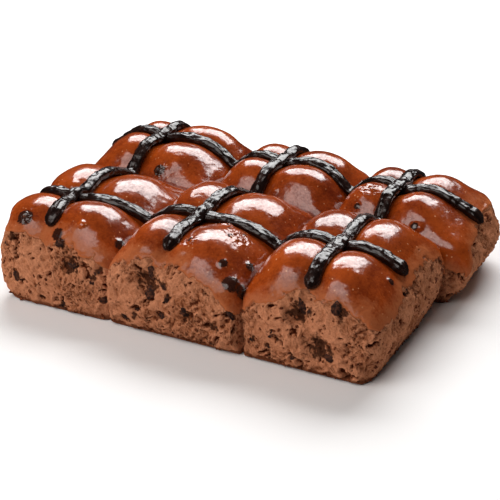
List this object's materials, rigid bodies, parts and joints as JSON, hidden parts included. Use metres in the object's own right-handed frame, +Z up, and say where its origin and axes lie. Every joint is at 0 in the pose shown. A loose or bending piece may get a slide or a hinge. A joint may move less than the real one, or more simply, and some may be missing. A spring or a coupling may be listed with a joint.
{
  "type": "joined batch of hot cross buns",
  "caption": "Batch of glazed hot cross buns still joined side by side, with piped dark strands crossing on each and torn crumb at the outer sides.",
  "frame": {"origin": "centre of the batch's box in plan, on the flat underside", "axes": "+X along the row of three buns, +Y from the front row to the back row, +Z up"},
  "size_m": [0.2056, 0.152, 0.0493],
  "materials": {
    "crust": "baked brown dough, glossy sugar glaze on top and matt open crumb at the torn sides",
    "paste": "dark cocoa paste with a glossy glaze",
    "crumb": "matt torn chocolate crumb, porous and fibrous",
    "chocolate": "dark chocolate chips, half melted"
  },
  "bodies": {
    "root": {"bread": "crust", "strand_along_front": "paste", "strand_along_back": "paste", "strand_across_left": "paste", "strand_across_middle": "paste", "strand_across_right": "paste"}
  },
  "joints": []
}
